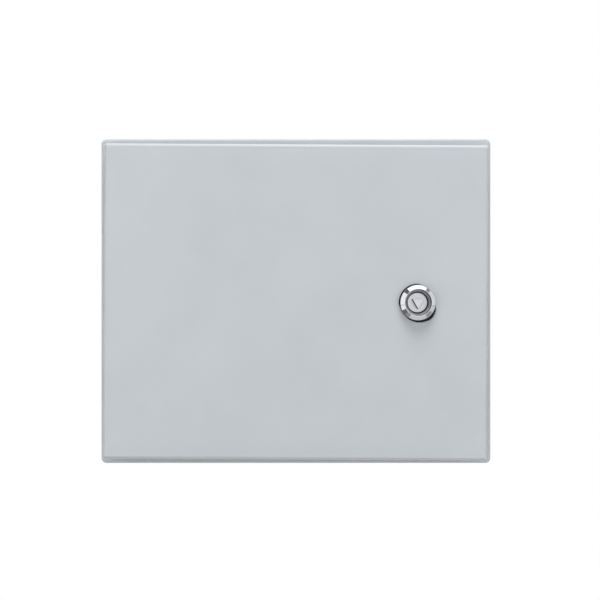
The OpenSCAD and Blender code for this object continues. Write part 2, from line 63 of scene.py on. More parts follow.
BODY_HALF_W = BODY_HIGH.x
BODY_HALF_H = BODY_HIGH.z
RIM_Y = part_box("hinge_bracket_upper")[1].y
LIP_Y = BODY_LOW.y
SHEET = SEAL_LOW.y - DOOR_LOW.y
GUTTER = 20 * MM
CORNER_R = 4 * MM
RIM_BEND_R = 1.8 * MM
BACK_BEND_R = 2.5 * MM
LIP_FOLD_R = 1 * MM

# The door hangs a little lower on the lock side: it is drawn square and then turned
LOCK_REACH = math.hypot(LOCK_AT.x - HINGE_AT.x, LOCK_AT.z)
HANG = math.asin(-LOCK_AT.z / LOCK_REACH)
DOOR_HALF_W = BODY_HALF_W - 4.5 * MM
DOOR_HALF_H = BODY_HALF_H - 5.5 * MM
DOOR_BEND_R = 3 * MM
DOOR_CORNER_R = 2 * MM
EDGE_SOFT = 0.25 * MM
LOCK_HOLE_R = 11.25 * MM
NOTCH_ROOM = 2 * MM
NOTCH_BEHIND = 1.5 * MM

# The lock's radii and heights. The polished edge of its head ends a little inside the CAD's
LOCK_HEAD_R = (HEAD_HIGH.x - HEAD_LOW.x) / 2 - 0.25 * MM
LOCK_CREST_R = 10.3 * MM
LOCK_FOOT_H = 2.3 * MM
LOCK_NECK_R = 11 * MM
NECK_PITCH = 1 * MM
HEAD_EDGE_R = 0.5 * MM
FACE_BORE_R = 7.6 * MM
FACE_BORE_DEPTH = 3.7 * MM
GROOVE_W = 0.5 * MM
GROOVE_DEPTH = 0.8 * MM
SHAFT_BORE_R = 6.06 * MM
SHAFT_R = 6 * MM
SHAFT_END_R = 5 * MM
CAM_SCREW_HOLE_R = 2.55 * MM
CREST_ROUND = 0.3 * MM
INSERT_FACE_R = 7.5 * MM
INSERT_FACE_T = 3.5 * MM
POST_H = 6.5 * MM
POST_SIDE = 8 * MM
POST_CORNER_R = 0.35 * MM

# The door's foam seal, the studs and the cable opening
SEAL_W = 8 * MM
SEAL_FOOT = 0.9 * MM
SEAL_CORNER_R = 9 * MM
PLATE_STUD_R = 3 * MM
PLATE_COLLAR_R = 5 * MM
GLAND_STUD_R = 2.5 * MM
EARTH_STUD_R = 3 * MM
GASKET_OVERLAP = 15 * MM
ENTRY_CORNER_R = 6 * MM

# The face falls away a little beside its folded edge, as pressed sheet does
CROWN_W = 9 * MM
CROWN_DEG = 2.2
CROWN_STEPS = 6

BEND_STEPS = 8
CORNER_STEPS = 6
TURN_STEPS = 96
STUD_STEPS = 32


def srgb(red, green, blue):
    """Linear colour of a display colour given from 0 to 255."""
    def linear(value):
        value /= 255
        return value / 12.92 if value <= 0.04045 else ((value + 0.055) / 1.055) ** 2.4
    return (linear(red), linear(green), linear(blue), 1.0)


# ---- Materials ----

def node(tree, kind, inputs=None, **settings):
    """Adds a shader node. An input is a value, or the output socket that feeds it."""
    made = tree.nodes.new(kind)
    for name, value in settings.items():
        setattr(made, name, value)
    for name, value in (inputs or {}).items():
        if isinstance(value, bpy.types.NodeSocket):
            tree.links.new(value, made.inputs[name])
        else:
            made.inputs[name].default_value = value
    return made


def surface(name, **values):
    """New material with those values on its shader. Returns it, its tree and its shader."""
    material = bpy.data.materials.new(name)
    material.use_nodes = True
    tree = material.node_tree
    shader = tree.nodes["Principled BSDF"]
    for socket, value in values.items():
        shader.inputs[socket.replace("_", " ")].default_value = value
    return material, tree, shader


def noise(tree, scale, detail=2.0, roughness=0.5, stretch=(1, 1, 1)):
    """Noise in the object's own metres, stretched along its axes."""
    place = node(tree, "ShaderNodeTexCoord")
    moved = node(tree, "ShaderNodeMapping", {"Vector": place.outputs["Object"], "Scale": stretch})
    made = node(tree, "ShaderNodeTexNoise", {
        "Vector": moved.outputs["Vector"], "Scale": scale, "Detail": detail, "Roughness": roughness,
    })
    return made.outputs["Fac"]


def blend_colours(tree, factor, low, high, from_low=0.3, from_high=0.7):
    """Colour between low and high as factor goes from from_low to from_high."""
    ramp = node(tree, "ShaderNodeValToRGB", {"Fac": factor})
    ramp.color_ramp.elements[0].position = from_low
    ramp.color_ramp.elements[0].color = low
    ramp.color_ramp.elements[1].position = from_high
    ramp.color_ramp.elements[1].color = high
    return ramp.outputs["Color"]


def colour_mix(tree, factor, low, high):
    """Colour that is low where factor is 0 and high where it is 1."""
    made = node(tree, "ShaderNodeMix", data_type="RGBA")
    for index, value in ((0, factor), (6, low), (7, high)):
        if isinstance(value, bpy.types.NodeSocket):
            tree.links.new(value, made.inputs[index])
        else:
            made.inputs[index].default_value = value
    return made.outputs[2]


def spread(tree, factor, low, high):
    """Number between low and high that follows factor."""
    made = node(tree, "ShaderNodeMapRange", {
        "Value": factor, "From Min": 0.3, "From Max": 0.7, "To Min": low, "To Max": high,
    })
    return made.outputs["Result"]


def bumped(tree, height, distance, strength=1.0):
    """Normal that height raises by up to distance, in metres."""
    made = node(tree, "ShaderNodeBump", {
        "Height": height, "Distance": distance, "Strength": strength,
    })
    return made.outputs["Normal"]


def powder_coat():
    """Light grey textured powder coat, with fine orange peel and faint mottling."""
    material, tree, shader = surface("powder_coat", Coat_Weight=0.0)
    mottle = noise(tree, 22, 4.0, 0.55)
    colour = blend_colours(tree, mottle, srgb(190, 195, 199), srgb(194, 199, 203))
    tree.links.new(colour, shader.inputs["Base Color"])
    tree.links.new(spread(tree, noise(tree, 260), 0.40, 0.50), shader.inputs["Roughness"])
    peel = bumped(tree, noise(tree, 1300, 2.0), 0.02 * MM)
    tree.links.new(peel, shader.inputs["Normal"])
    return material


def zinc_sheet():
    """Hot-dip galvanised sheet, with the flat crystals of its spangle."""
    material, tree, shader = surface("zinc_sheet", Metallic=1.0)
    place = node(tree, "ShaderNodeTexCoord")
    crystals = node(tree, "ShaderNodeTexVoronoi", {
        "Vector": place.outputs["Object"], "Scale": 95.0, "Randomness": 1.0,
    })
    grey = node(tree, "ShaderNodeSeparateColor", {"Color": crystals.outputs["Color"]})
    colour = blend_colours(tree, grey.outputs["Red"], srgb(168, 173, 177), srgb(200, 204, 207), 0, 1)
    tree.links.new(colour, shader.inputs["Base Color"])
    rough = spread(tree, grey.outputs["Green"], 0.32, 0.46)
    tree.links.new(rough, shader.inputs["Roughness"])
    tree.links.new(bumped(tree, noise(tree, 420, 3.0), 0.01 * MM), shader.inputs["Normal"])
    return material


def plated(name, low, high, rough_low, rough_high, grain, bump, stretch=(1, 1, 1)):
    """Plated metal whose tone and roughness vary with the grain of the part below."""
    material, tree, shader = surface(name, Metallic=1.0)
    fine = noise(tree, grain, 3.0, 0.6, stretch)
    tree.links.new(blend_colours(tree, fine, low, high), shader.inputs["Base Color"])
    tree.links.new(spread(tree, fine, rough_low, rough_high), shader.inputs["Roughness"])
    tree.links.new(bumped(tree, fine, bump), shader.inputs["Normal"])
    return material


def rubbery(name, low, high, grain, bump, roughness):
    """Matt rubber or foam with an open skin."""
    material, tree, shader = surface(name, Specular_IOR_Level=0.3)
    fine = noise(tree, grain, 4.0, 0.6)
    tree.links.new(blend_colours(tree, fine, low, high), shader.inputs["Base Color"])
    tree.links.new(spread(tree, fine, roughness - 0.06, roughness + 0.06), shader.inputs["Roughness"])
    tree.links.new(bumped(tree, fine, bump), shader.inputs["Normal"])
    return material


def lock_recess():
    """Unpolished wall of the key recess, with painted shade: darker under the crest and towards its foot, most of
    all on the right side, where the dark tone is a painted reflection.
    """
    material, tree, shader = surface("lock_recess", Metallic=0.3)
    place = node(tree, "ShaderNodeTexCoord")
    depth = node(tree, "ShaderNodeSeparateXYZ", {"Vector": place.outputs["Object"]}).outputs["Y"]
    share = node(tree, "ShaderNodeMapRange", {
        "Value": depth, "From Min": HEAD_LOW.y, "From Max": INSERT_LOW.y + POST_H,
    }).outputs["Result"]
    across = node(tree, "ShaderNodeSeparateXYZ", {"Vector": place.outputs["Object"]}).outputs["X"]
    right = node(tree, "ShaderNodeMapRange", {
        "Value": across, "From Min": LOCK_AT.x - 7 * MM, "From Max": LOCK_AT.x + 6 * MM,
    }).outputs["Result"]
    # Painted shade: one ramp of greys down the depth for the left side and one for the right, both darker under
    # the crest and at the foot
    sides = []
    for shades in (
        ((0, 150), (0.2, 178), (0.8, 178), (1, 140)),
        ((0, 92), (0.28, 96), (0.42, 186), (0.75, 186), (0.92, 104), (1, 60)),
    ):
        ramp = node(tree, "ShaderNodeValToRGB", {"Fac": share})
        ramp.color_ramp.elements.remove(ramp.color_ramp.elements[1])
        for position, shade in shades:
            step = ramp.color_ramp.elements.new(position) if position else ramp.color_ramp.elements[0]
            step.color = srgb(shade, shade, shade + 6)
        sides.append(ramp.outputs["Color"])
    # Across the recess the painted shade goes from the left ramp to the darker right one, a painted reflection
    painted_shade = colour_mix(tree, right, sides[0], sides[1])
    grain = noise(tree, 900, 3.0)
    stains = blend_colours(tree, grain, srgb(70, 71, 78), srgb(200, 201, 206))
    tree.links.new(colour_mix(tree, 0.12, painted_shade, stains), shader.inputs["Base Color"])
    tree.links.new(spread(tree, grain, 0.28, 0.40), shader.inputs["Roughness"])
    tree.links.new(bumped(tree, grain, 0.004 * MM), shader.inputs["Normal"])
    return material


FINISHES = {
    "powder_coat": powder_coat(),
    "zinc_sheet": zinc_sheet(),
    "zinc_hardware": plated(
        "zinc_hardware", srgb(176, 182, 190), srgb(205, 208, 212), 0.26, 0.40, 700, 0.006 * MM,
    ),
    "copper_stud": plated(
        "copper_stud", srgb(176, 112, 72), srgb(205, 138, 92), 0.30, 0.44, 500, 0.006 * MM,
    ),
    "lock_chrome": plated(
        "lock_chrome", srgb(226, 227, 230), srgb(234, 235, 237), 0.05, 0.09, 900, 0.0004 * MM,
    ),
    "insert_satin": plated(
        "insert_satin", srgb(206, 207, 212), srgb(222, 223, 227), 0.28, 0.40, 1500, 0.004 * MM,
    ),
    "foam_seal": rubbery("foam_seal", srgb(44, 45, 48), srgb(60, 61, 64), 900, 0.05 * MM, 0.85),
    "black_rubber": rubbery("black_rubber", srgb(10, 10, 11), srgb(18, 18, 19), 600, 0.01 * MM, 0.6),
    "lock_recess": lock_recess(),
    # Dark grey painted shade, put on the right part of the groove round the key face and on the post's left side
    "painted_gap_shade": plated("painted_gap_shade", srgb(44, 45, 50), srgb(62, 63, 68), 0.4, 0.5, 1200, 0.004 * MM),
}


# ---- Mesh helpers ----

def finish_piece(bm, name, body, slot, sharp_deg=32):
    """Turns a bmesh into a piece that rides on body with that slot's material."""
    bmesh.ops.recalc_face_normals(bm, faces=bm.faces)
    for face in bm.faces:
        face.smooth = True
    mesh = bpy.data.meshes.new(name)
    bm.to_mesh(mesh)
    bm.free()
    mesh.set_sharp_from_angle(angle=math.radians(sharp_deg))
    piece = bpy.data.objects.new(name, mesh)
    bpy.context.scene.collection.objects.link(piece)
    mesh.materials.append(FINISHES[slot])
    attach(piece, body)
    return piece


def arc(centre_a, centre_b, radius, start_deg, end_deg, steps=BEND_STEPS):
    """Points of an arc, from start to end."""
    points = []
    for step in range(steps + 1):
        angle = math.radians(start_deg + (end_deg - start_deg) * step / steps)
        points.append((centre_a + radius * math.cos(angle), centre_b + radius * math.sin(angle)))
    return points


def round_rectangle(half_w, half_h, radius, steps=CORNER_STEPS):
    """Corner points of a rectangle with round corners, as (x, z)."""
    points = []
    for sign_x, sign_z, start in ((1, 1, 0), (-1, 1, 90), (-1, -1, 180), (1, -1, 270)):
        centre_x, centre_z = sign_x * (half_w - radius), sign_z * (half_h - radius)
        points += arc(centre_x, centre_z, radius, start, start + 90, steps)
    return points


def add_loop(bm, points, y):
    """Adds (x, z) points at that depth."""
    return [bm.verts.new((x, y, z)) for x, z in points]


def bridge(bm, loop_a, loop_b):
    """Quads between two closed loops of as many points."""
    for index, vert in enumerate(loop_a):
        after = (index + 1) % len(loop_a)
        bm.faces.new((vert, loop_a[after], loop_b[after], loop_b[index]))


def loop_edges(bm, loop):
    """The edges round a closed loop, made where they are missing."""
    edges = []
    for index, vert in enumerate(loop):
        after = loop[(index + 1) % len(loop)]
        edges.append(bm.edges.get((vert, after)) or bm.edges.new((vert, after)))
    return edges


def folded_tray(half_w, half_h, corner_r, section, holes):
    """Sheet metal tray: a closed section run round a rectangle, with round holes through its flat.

    section is a list of (inset, y): it starts at the flat's inner face and ends at its outer face.
    holes is a list of (x, z, radius)."""
    bm = bmesh.new()
    loops = []
    for inset, y in section:
        radius = max(corner_r - inset, EDGE_SOFT)
        loops.append(add_loop(bm, round_rectangle(half_w - inset, half_h - inset, radius), y))
    for before, after in zip(loops, loops[1:]):
        bridge(bm, before, after)
    rings = []
    for loop, (inset, y) in ((loops[0], section[0]), (loops[-1], section[-1])):
        edges = loop_edges(bm, loop)
        circles = []
        for x, z, radius in holes:
            circles.append(add_loop(bm, arc(x, z, radius, 0, 360, 48)[:-1], y))
            edges += loop_edges(bm, circles[-1])
        bmesh.ops.triangle_fill(bm, edges=edges, use_beauty=True, normal=(0, 1, 0))
        rings.append(circles)
    for inner, outer in zip(*rings):
        bridge(bm, inner, outer)
    return bm


def cut(piece, cutters):
    """Takes the cutters, each a bmesh, out of piece."""
    for cutter_bm in cutters:
        bmesh.ops.recalc_face_normals(cutter_bm, faces=cutter_bm.faces)
        mesh = bpy.data.meshes.new("cutter")
        cutter_bm.to_mesh(mesh)
        cutter_bm.free()
        cutter = bpy.data.objects.new("cutter", mesh)
        bpy.context.scene.collection.objects.link(cutter)
        step = piece.modifiers.new("cut", "BOOLEAN")
        step.operation = "DIFFERENCE"
        step.solver = "EXACT"
        step.object = cutter
        graph = bpy.context.evaluated_depsgraph_get()
        result = bpy.data.meshes.new_from_object(piece.evaluated_get(graph))
        piece.modifiers.remove(step)
        piece.data = result
        bpy.data.objects.remove(cutter)
    piece.data.set_sharp_from_angle(angle=math.radians(32))


def prism(outline, low, high, axis="z"):
    """Closed prism of an outline of (a, b) points, from low to high along an axis."""
    bm = bmesh.new()
    places = {
        "z": lambda a, b, h: (a, b, h),
        "y": lambda a, b, h: (a, h, b),
        "x": lambda a, b, h: (h, a, b),
    }[axis]
    ends = [[bm.verts.new(places(a, b, h)) for a, b in outline] for h in (low, high)]
    bridge(bm, *ends)
    bm.faces.new(ends[0])
    bm.faces.new(ends[1])
    return bm


def steady_normals(piece):
    """Keeps large flats flat where they run into bends."""
    weighted = piece.modifiers.new("steady", "WEIGHTED_NORMAL")
    weighted.keep_sharp = True
    weighted.weight = 100


# ---- Body ----

def body_section():
    """Section of the body's sheet, from the inside of the back to its outside."""
    fold_inset, fold_y = GUTTER - LIP_FOLD_R, RIM_Y - LIP_FOLD_R
    bend_in = RIM_BEND_R - SHEET
    back_in = BACK_BEND_R - SHEET
    section = [(SHEET + back_in + EDGE_SOFT, -SHEET)]
    section += arc(BACK_BEND_R, -BACK_BEND_R, back_in, 90, 180)
    section += arc(RIM_BEND_R, RIM_Y + RIM_BEND_R, bend_in, 180, 270)
    section += arc(fold_inset, fold_y, LIP_FOLD_R + SHEET, 90, 0)
    section += [(GUTTER + SHEET, LIP_Y + EDGE_SOFT), (GUTTER + SHEET - EDGE_SOFT, LIP_Y)]
    section += [(GUTTER + EDGE_SOFT, LIP_Y), (GUTTER, LIP_Y + EDGE_SOFT)]
    section += arc(fold_inset, fold_y, LIP_FOLD_R, 0, 90)
    section += arc(RIM_BEND_R, RIM_Y + RIM_BEND_R, RIM_BEND_R, 270, 180)
    section += arc(BACK_BEND_R, -BACK_BEND_R, BACK_BEND_R, 180, 90)
    section += [(BACK_BEND_R + EDGE_SOFT, 0)]
    return section


def wall_holes():
    """The wall-fixing holes as (x, z, radius)."""
    dims = MOUNTS["wall_bolts"]["dims"]
    half_x, half_z = dims["spacing_x_mm"] * MM / 2, dims["spacing_y_mm"] * MM / 2
    radius = dims["hole_r_mm"] * MM
    return [(x, z, radius) for x in (-half_x, half_x) for z in (-half_z, half_z)]


def make_body():
    bm = folded_tray(BODY_HALF_W, BODY_HALF_H, CORNER_R, body_section(), wall_holes())
    piece = finish_piece(bm, "body_skin", "enclosure", "powder_coat")
    low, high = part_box("gland_gasket")
    half_w = high.x - GASKET_OVERLAP
    half_d = (high.y - low.y) / 2 - GASKET_OVERLAP
    middle_y = (low.y + high.y) / 2
    outline = [(x, y + middle_y) for x, y in round_rectangle(half_w, half_d, ENTRY_CORNER_R)]
    cut(piece, [prism(outline, BODY_LOW.z - SHEET, BODY_LOW.z + 2 * SHEET)])
    steady_normals(piece)
    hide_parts("body_shell")


# ---- Door ----

def door_section():
    """Section of the door's sheet, from its inner face to its front."""
    bend_in = DOOR_BEND_R - SHEET
    bend_y = DOOR_LOW.y + DOOR_BEND_R
    section = [(DOOR_BEND_R + EDGE_SOFT, DOOR_LOW.y + SHEET)]
    section += arc(DOOR_BEND_R, bend_y, bend_in, 270, 180)
    section += [(SHEET, DOOR_HIGH.y - EDGE_SOFT), (SHEET - EDGE_SOFT, DOOR_HIGH.y)]
    section += [(EDGE_SOFT, DOOR_HIGH.y), (0, DOOR_HIGH.y - EDGE_SOFT)]
    section += arc(DOOR_BEND_R, bend_y, DOOR_BEND_R, 180, 270 - CROWN_DEG)[:-1]
    for step in range(CROWN_STEPS + 1):
        share = step / CROWN_STEPS
        fall = CROWN_W * math.radians(CROWN_DEG) / 2 * (1 - share) ** 2
        section.append((DOOR_BEND_R + CROWN_W * share, DOOR_LOW.y + fall))
    return section


def hang(bm):
    """Turns what is drawn on the square door to the way the door hangs."""
    pivot = Matrix.Translation((HINGE_AT.x, 0, 0))
    bm.transform(pivot @ Matrix.Rotation(HANG, 4, "Y") @ pivot.inverted())


def make_door():
    lock_hole = (HINGE_AT.x + LOCK_REACH, 0, LOCK_HOLE_R)
    bm = folded_tray(DOOR_HALF_W, DOOR_HALF_H, DOOR_CORNER_R, door_section(), [lock_hole])
    hang(bm)
    piece = finish_piece(bm, "door_skin", "door", "powder_coat")
    notches = []
    for bracket in ("hinge_bracket_upper", "hinge_bracket_lower"):
        low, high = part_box(bracket)
        floor_y = HINGE_AT.y - NOTCH_BEHIND
        left, right = DOOR_LOW.x - SHEET, DOOR_LOW.x + 2 * SHEET
        outline = [(left, floor_y), (right, floor_y), (right, RIM_Y), (left, RIM_Y)]
        notches.append(prism(outline, low.z - NOTCH_ROOM, high.z + NOTCH_ROOM))
    cut(piece, notches)
    steady_normals(piece)
    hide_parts("door_panel")


# ---- Lock, drawn about its axis: a radius and a depth, or x and z ----

def turned(profile, steps=TURN_STEPS):
    """Closed solid of a (radius, y) section turned about the Y axis."""
    bm = bmesh.new()
    rings = []
    for radius, y in profile:
        rings.append(add_loop(bm, arc(0, 0, radius, 0, 360, steps)[:-1], y))
    for before, after in zip(rings, rings[1:] + rings[:1]):
        bridge(bm, before, after)
    return bm


def at_lock(bm):
    """Moves what is drawn about the origin to the lock's axis."""
    bm.transform(Matrix.Translation((LOCK_AT.x, 0, LOCK_AT.z)) @ Matrix.Rotation(HANG, 4, "Y"))
    return bm


def thread(radius, low_y, high_y, pitch):
    """Outline of a thread's crests and roots, as (radius, y) from high_y down to low_y."""
    points = []
    root = radius - 0.45 * pitch
    turns = int((high_y - low_y) / pitch)
    for turn in range(turns):
        crest_y = high_y - turn * pitch
        points += [(radius, crest_y - 0.1 * pitch), (radius, crest_y - 0.25 * pitch)]
        points += [(root, crest_y - 0.6 * pitch), (root, crest_y - 0.75 * pitch)]
    return points


def make_lock_head():
    top, foot = HEAD_LOW.y, RING_LOW.y
    neck_end = RIM_Y + SHEET
    insert_face = INSERT_LOW.y + POST_H
    profile = [(SHAFT_BORE_R, neck_end), (LOCK_NECK_R - 0.5 * MM, neck_end)]
    profile += thread(LOCK_NECK_R, foot + 1.5 * MM, neck_end - 0.4 * MM, NECK_PITCH)
    profile += [(LOCK_NECK_R - 0.4 * MM, foot), (LOCK_HEAD_R - 0.2 * MM, foot)]
    profile += [(LOCK_HEAD_R, foot - 0.2 * MM)]
    profile += arc(LOCK_HEAD_R - HEAD_EDGE_R, foot - LOCK_FOOT_H, HEAD_EDGE_R, 0, -45, 4)
    profile += arc(LOCK_CREST_R, top + CREST_ROUND, CREST_ROUND, -45, -150, 8)
    groove_r, groove_end = FACE_BORE_R + GROOVE_W, insert_face + GROOVE_DEPTH
    bore_end = insert_face + FACE_BORE_DEPTH
    profile += [(groove_r, insert_face - 0.5 * MM), (groove_r, groove_end)]
    profile += [(FACE_BORE_R, groove_end), (FACE_BORE_R, bore_end), (SHAFT_BORE_R, bore_end)]
    piece = finish_piece(at_lock(turned(profile)), "lock_head", "door", "lock_chrome", 24)
    piece.data.materials.append(FINISHES["lock_recess"])
    piece.data.materials.append(FINISHES["painted_gap_shade"])
    # Painted shade: inside the crest the recess gets its shaded greys, and the groove faces, except on its left,
    # get the dark painted gap shade
    for face in piece.data.polygons:
        centre = face.center - Vector((LOCK_AT.x, 0, LOCK_AT.z))
        if math.hypot(centre.x, centre.z) < LOCK_CREST_R - 0.3 * MM and centre.y > top + 0.2 * MM:
            in_groove = centre.y > insert_face - 0.4 * MM and centre.x > -4 * MM
            face.material_index = 2 if in_groove else 1
    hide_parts("lock_housing")


def make_lock_seal():
    """Flat ring under the head. It reaches out beyond the head unevenly, most of all at the lower right, where it
    shows as a dark crescent.
    """
    low_y, high_y = RING_LOW.y, RING_HIGH.y
    overhang = [(0, 0.35), (45, 0.05), (75, 0.3), (92, 0.9), (180, 0.95), (200, 0.3), (228, 0.3)]
    overhang += [(250, 1.1), (285, 1.9), (310, 2.6), (335, 1.6), (350, 0.6), (360, 0.35)]
    outline = []
    for step in range(TURN_STEPS):
        angle = 360 * step / TURN_STEPS
        for (start, low), (end, high) in zip(overhang, overhang[1:]):
            if start <= angle < end:
                share = (angle - start) / (end - start)
                reach = low + (high - low) * share * share * (3 - 2 * share)
        outline.append((LOCK_HEAD_R + reach * MM, math.radians(angle)))
    bm = bmesh.new()
    soft = 0.2 * MM
    rings = []
    for inset, y in ((soft, low_y), (0, low_y + soft), (0, high_y)):
        points = [((r - inset) * math.cos(a), (r - inset) * math.sin(a)) for r, a in outline]
        rings.append(add_loop(bm, points, y))
    for y in (high_y, low_y):
        rings.append(add_loop(bm, arc(0, 0, LOCK_NECK_R + 0.1 * MM, 0, 360, TURN_STEPS)[:-1], y))
    for before, after in zip(rings, rings[1:] + rings[:1]):
        bridge(bm, before, after)
    piece = finish_piece(at_lock(bm), "lock_ring", "door", "black_rubber")
    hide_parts("lock_seal")


def make_lock_insert():
    """Face disc with the triangular post, apex down."""
    low_y = INSERT_LOW.y
    face_y = low_y + POST_H
    soft = 0.25 * MM
    end_y = INSERT_HIGH.y
    disc_back = face_y + INSERT_FACE_T
    profile = [(CAM_SCREW_HOLE_R, end_y), (SHAFT_END_R, end_y), (SHAFT_R, end_y - 1 * MM)]
    profile += [(SHAFT_R, disc_back), (INSERT_FACE_R, disc_back)]
    profile += arc(INSERT_FACE_R - soft, face_y + soft, soft, 0, -90, 4)
    profile += [(1 * MM, face_y), (1 * MM, face_y + 4 * MM), (CAM_SCREW_HOLE_R, face_y + 4 * MM)]
    disc = at_lock(turned(profile))
    tip_r = POST_SIDE * 2 / 3
    levels = [(tip_r, face_y + 0.1 * MM), (tip_r, low_y + 0.25 * MM), (tip_r - 0.5 * MM, low_y)]
    bm = bmesh.new()
    loops = []
    for reach, y in levels:
        outline = []
        for side in range(3):
            middle = -90 + 120 * side
            spot = reach - 2 * POST_CORNER_R
            centre = (spot * math.cos(math.radians(middle)), spot * math.sin(math.radians(middle)))
            outline += arc(centre[0], centre[1], POST_CORNER_R, middle - 60, middle + 60, 6)
        loops.append(add_loop(bm, outline, y))
    for before, after in zip(loops, loops[1:]):
        bridge(bm, before, after)
    bm.faces.new(loops[0])
    bm.faces.new(loops[-1])
    mesh = bpy.data.meshes.new("post")
    at_lock(bm).to_mesh(mesh)
    bm.free()
    disc.from_mesh(mesh)
    piece = finish_piece(disc, "lock_key_post", "lock_rotor", "insert_satin", 24)
    piece.data.materials.append(FINISHES["lock_recess"])
    piece.data.materials.append(FINISHES["painted_gap_shade"])
    # Painted shade on the post: its faces that look left are dark grey, and its upright faces take the recess's
    # painted shade; both turn with the post
    for face in piece.data.polygons:
        if abs(face.normal.y) < 0.9 and low_y < face.center.y < face_y:
            if face.normal.x < -0.3:
                face.material_index = 2
            elif abs(face.normal.y) < 0.1:
                face.material_index = 1
    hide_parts("lock_insert")


# ---- Seal, studs and softened edges ----

def make_door_seal():
    """Foamed seal: one poured bead with round corners and a domed face."""
    low, high = SEAL_LOW.y, SEAL_HIGH.y
    reach = GUTTER + SHEET / 2 - SEAL_W / 2
    half_w, half_h = BODY_HALF_W - reach, BODY_HALF_H - reach
    section = [(0.3 * MM, low), (0, low + SEAL_FOOT / 2)]
    for x, rise in arc(0, 0, 1, 180, 0, 12):
        section.append((SEAL_W / 2 * (1 + x), low + SEAL_FOOT + (high - low - SEAL_FOOT) * rise))
    section += [(SEAL_W, low + SEAL_FOOT / 2), (SEAL_W - 0.3 * MM, low)]
    bm = bmesh.new()
    loops = []
    for inset, y in section:
        outline = round_rectangle(half_w - inset, half_h - inset, SEAL_CORNER_R - inset, 8)
        loops.append(add_loop(bm, outline, y))
    for before, after in zip(loops, loops[1:] + loops[:1]):
        bridge(bm, before, after)
    hang(bm)
    piece = finish_piece(bm, "seal_bead", "door", "foam_seal", 50)
    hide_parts("door_seal")


def add_stud(bm, place, radius, length, collar_r=0, collar_h=0):
    """Adds a threaded stud along place's Z, on a collar if it has one."""
    foot_r, pitch = radius - 0.08 * radius, radius / 3
    rings = [(collar_r, 0), (collar_r, collar_h - 0.3 * MM), (collar_r - 0.3 * MM, collar_h)]
    if not collar_r:
        rings = [(radius + 0.5 * MM, 0), (radius, 0.5 * MM)]
    height = rings[-1][1] + pitch
    while height < length - 0.3 * radius:
        rings += [(foot_r, height - 0.5 * pitch), (radius, height - 0.15 * pitch), (radius, height)]
        height += pitch
    rings += [(foot_r, length - 0.2 * radius), (radius - 0.25 * radius, length)]
    loops = []
    for ring_r, z in rings:
        circle = arc(0, 0, ring_r, 0, 360, STUD_STEPS)[:-1]
        loops.append([bm.verts.new(place @ Vector((x, y, z))) for x, y in circle])
    for before, after in zip(loops, loops[1:]):
        bridge(bm, before, after)
    bm.faces.new(loops[0])
    bm.faces.new(loops[-1])


def make_studs():
    """Threaded studs in the places and at the lengths of the plain ones."""
    to_front = Matrix.Rotation(math.radians(90), 4, "X")
    to_back = Matrix.Rotation(math.radians(-90), 4, "X")
    for name, body in (
        ("plate_studs", "enclosure"), ("gland_studs", "enclosure"),
        ("body_earth_stud", "enclosure"), ("door_earth_stud", "door"),
    ):
        low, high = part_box(name)
        bm = bmesh.new()
        if name == "plate_studs":
            collar_h = high.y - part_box("mounting_plate")[1].y
            for x in (low.x + PLATE_COLLAR_R, high.x - PLATE_COLLAR_R):
                for z in (low.z + PLATE_COLLAR_R, high.z - PLATE_COLLAR_R):
                    place = Matrix.Translation((x, high.y, z)) @ to_front
                    add_stud(bm, place, PLATE_STUD_R, high.y - low.y, PLATE_COLLAR_R, collar_h)
        elif name == "gland_studs":
            for x in (low.x + GLAND_STUD_R, 0, high.x - GLAND_STUD_R):
                for y in (low.y + GLAND_STUD_R, high.y - GLAND_STUD_R):
                    add_stud(bm, Matrix.Translation((x, y, low.z)), GLAND_STUD_R, high.z - low.z)
        elif name == "body_earth_stud":
            middle = (low + high) / 2
            place = Matrix.Translation((middle.x, middle.y, low.z))
            add_stud(bm, place, EARTH_STUD_R, high.z - low.z)
        else:
            middle = (low + high) / 2
            place = Matrix.Translation((middle.x, low.y, middle.z)) @ to_back
            add_stud(bm, place, EARTH_STUD_R, high.y - low.y)
        piece = finish_piece(bm, name + "_threaded", body, "copper_stud")
        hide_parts(name)


# How far the edges of CAD parts are broken, and of which parts
SOFT_EDGES = (
    (0.35 * MM, (
        "plate_nuts", "gland_nuts", "body_earth_nut", "door_earth_nut", "lock_nut", "lock_cam",
    )),
    (0.2 * MM, (
        "mounting_plate", "gland_plate", "cam_screw", "cam_washer", "hinge_bracket_nuts",
    )),
    (0.15 * MM, (
        "hinge_bracket_upper", "hinge_bracket_lower", "hinge_leaf_upper", "hinge_leaf_lower",
    )),
)


def soften(names, width):
    """Breaks the sharp edges of CAD parts."""
    for name in names:
        step = frame["nodes"][name].modifiers.new("soft", "BEVEL")
        step.width = width
        step.segments = 2
        step.limit_method = "ANGLE"
        step.angle_limit = math.radians(40)
        step.harden_normals = True


# ---- Stage, light and camera ----

CAMERA_DISTANCE = 0.75
VIEW_WIDTH = 0.4532
SENSOR = 36.0
FLOOR_Z = -0.9
FLOOR_R = 1.5
CAMERA_X, CAMERA_Z = 3.15 * MM, 0.75 * MM
LAMPS_AIM = Vector((0, -0.15, 0))
CAMERA_SKEW = math.degrees(math.atan2(LOCK_AT.x, CAMERA_DISTANCE))


def hold_to(kinds, tree, inside, outside):
    """Shader that is inside for those kinds of light path and outside for the others."""
    path = node(tree, "ShaderNodeLightPath")
    factor = path.outputs[kinds[0]]
    for kind in kinds[1:]:
        larger = {0: factor, 1: path.outputs[kind]}
        factor = node(tree, "ShaderNodeMath", larger, operation="MAXIMUM").outputs[0]
    return node(tree, "ShaderNodeMixShader", {0: factor, 1: outside, 2: inside}).outputs[0]


SEEN = ("Is Camera Ray", "Is Glossy Ray", "Is Transmission Ray")


